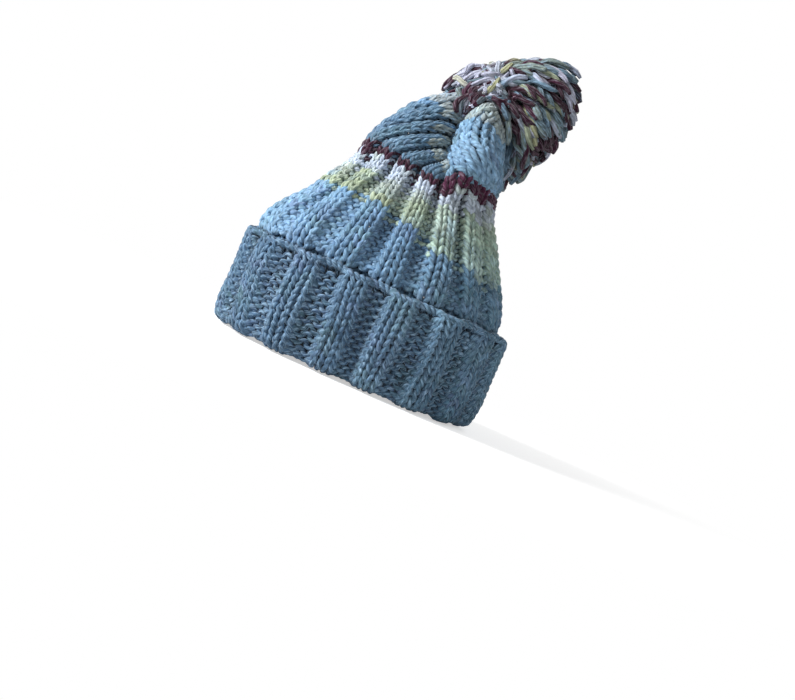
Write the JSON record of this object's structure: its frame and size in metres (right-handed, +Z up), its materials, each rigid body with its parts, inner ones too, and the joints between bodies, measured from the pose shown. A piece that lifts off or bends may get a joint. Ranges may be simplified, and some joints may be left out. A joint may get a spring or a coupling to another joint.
{
  "type": "knit beanie",
  "caption": "Chunky ribbed knit beanie with a turned-up cuff, blue, yellow-green, white and burgundy bands, a slack gathered crown and a yarn pom-pom on a tie.",
  "frame": {"origin": "middle of the head opening, on the plane that the cuff's fold stands on", "axes": "+Z up the hat, -Y the forehead, +Y the back of the head, +X the wearer's left"},
  "size_m": [0.178, 0.214, 0.2829],
  "materials": {
    "blue_yarn": "heathered light blue bulky yarn, matte with a soft halo",
    "yellow_green_yarn": "pale yellow-green bulky yarn, matte",
    "white_yarn": "white bulky yarn with a lavender cast, matte",
    "burgundy_yarn": "dark burgundy bulky yarn with pale flecks, matte",
    "tie_yarn": "grey-blue plied yarn, matte"
  },
  "bodies": {
    "hat_base": {"cuff_outer": "blue_yarn", "cast_on_edge": "blue_yarn", "cuff_fold": "blue_yarn", "cuff_inner": "blue_yarn", "crown_blue_band": "blue_yarn", "crown_yellow_band": "yellow_green_yarn", "crown_white_band": "white_yarn", "crown_burgundy_band": "burgundy_yarn"},
    "crown_top": {"crown_upper_blue_band": "blue_yarn", "crown_tip_band": "yellow_green_yarn", "gather_thread": "tie_yarn"},
    "tie": {"pompom_tie": "tie_yarn", "tie_knot": "tie_yarn"},
    "pompom": {"tie_neck": "tie_yarn", "pompom_binding": "tie_yarn", "pompom_core": "tie_yarn", "pompom_strands_blue": "blue_yarn", "pompom_strands_burgundy": "burgundy_yarn", "pompom_strands_white": "white_yarn", "pompom_strands_yellow": "yellow_green_yarn"}
  },
  "joints": [
    {"name": "crown_flop", "type": "hinge", "parent": "hat_base", "child": "crown_top", "pos_m": [0, 0, 0.158], "axis": [-0.766, -0.6428, 0], "range_deg": [-35, 35], "deforming": ["crown_yellow_band", "crown_white_band", "crown_burgundy_band"]},
    {"name": "pompom_sway", "type": "hinge", "parent": "crown_top", "child": "tie", "pos_m": [-0.0168, 0.02002, 0.23182], "axis": [-0.4924, 0.5868, -0.6428], "range_deg": [-15, 15]},
    {"name": "pompom_swing", "type": "hinge", "parent": "tie", "child": "pompom", "pos_m": [-0.01969, 0.02347, 0.23718], "axis": [-0.766, -0.6428, 0], "range_deg": [-50, 0]}
  ]
}
